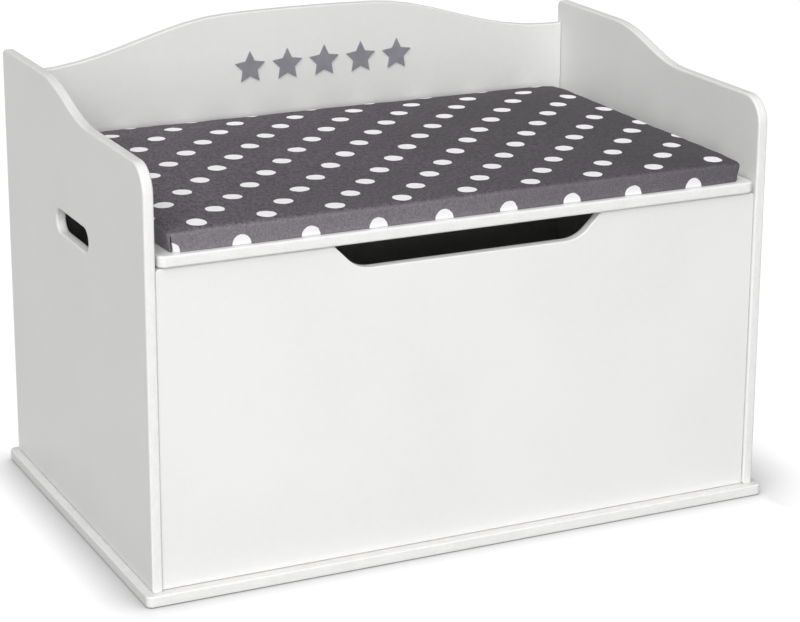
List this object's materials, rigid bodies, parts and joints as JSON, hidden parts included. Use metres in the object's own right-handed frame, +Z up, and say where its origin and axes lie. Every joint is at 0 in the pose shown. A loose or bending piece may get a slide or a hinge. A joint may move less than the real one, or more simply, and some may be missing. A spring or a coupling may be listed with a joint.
{
  "type": "toy box",
  "caption": "White wooden toy box and bench: ogee-topped sides with handle slots, arched backrest, pivoting lid and grey dotted seat cushion.",
  "frame": {"origin": "on the floor, under the middle of the base board", "axes": "+X to the box's right seen from the front, +Y to its back, +Z up; the front faces -Y"},
  "size_m": [0.937, 0.597, 0.6485],
  "materials": {
    "white_paint": "satin",
    "grey_fabric": "matte",
    "grey_paint": "satin",
    "zinc_alloy": "satin",
    "plated_steel": "satin",
    "beech": "matte",
    "clear_rubber": "matte",
    "hook_tape": "matte"
  },
  "bodies": {
    "case": {"base_board": "white_paint", "left_side_panel": "white_paint", "right_side_panel": "white_paint", "back_panel": "white_paint", "front_panel": "white_paint", "backrest_star_1": "grey_paint", "backrest_star_2": "grey_paint", "backrest_star_3": "grey_paint", "backrest_star_4": "grey_paint", "backrest_star_5": "grey_paint", "front_cam_left_lower": "zinc_alloy", "front_cam_left_upper": "zinc_alloy", "front_cam_right_lower": "zinc_alloy", "front_cam_right_upper": "zinc_alloy", "back_cam_left_lower": "zinc_alloy", "back_cam_left_upper": "zinc_alloy", "back_cam_right_lower": "zinc_alloy", "back_cam_right_upper": "zinc_alloy", "pivot_screw_left_1": "zinc_alloy", "pivot_screw_left_2": "zinc_alloy", "pivot_screw_right_1": "zinc_alloy", "pivot_screw_right_2": "zinc_alloy", "base_screw_left_1": "zinc_alloy", "base_screw_left_2": "zinc_alloy", "base_screw_left_3": "zinc_alloy", "base_screw_right_1": "zinc_alloy", "base_screw_right_2": "zinc_alloy", "base_screw_right_3": "zinc_alloy", "base_screw_front_1": "zinc_alloy", "base_screw_front_2": "zinc_alloy", "base_screw_back_1": "zinc_alloy", "base_screw_back_2": "zinc_alloy", "front_cam_bolt_left_lower": "plated_steel", "front_cam_bolt_left_upper": "plated_steel", "front_cam_bolt_right_lower": "plated_steel", "front_cam_bolt_right_upper": "plated_steel", "back_cam_bolt_left_lower": "plated_steel", "back_cam_bolt_left_upper": "plated_steel", "back_cam_bolt_right_lower": "plated_steel", "back_cam_bolt_right_upper": "plated_steel", "pivot_plate_left": "plated_steel", "pivot_plate_right": "plated_steel", "front_dowel_left": "beech", "front_dowel_right": "beech", "back_dowel_left": "beech", "back_dowel_right": "beech", "lid_bumper_left": "clear_rubber", "lid_bumper_right": "clear_rubber"},
    "lid": {"lid_board": "white_paint", "seat_cushion": "grey_fabric", "hook_strip_left": "hook_tape", "hook_strip_right": "hook_tape", "loop_strip_left": "hook_tape", "loop_strip_right": "hook_tape", "torque_insert_left": "zinc_alloy", "torque_insert_right": "zinc_alloy"}
  },
  "joints": [
    {"name": "lid_hinge", "type": "hinge", "parent": "case", "child": "lid", "pos_m": [0, 0.2125, 0.4585], "axis": [-1, 0, 0], "range_deg": [0, 90]}
  ]
}
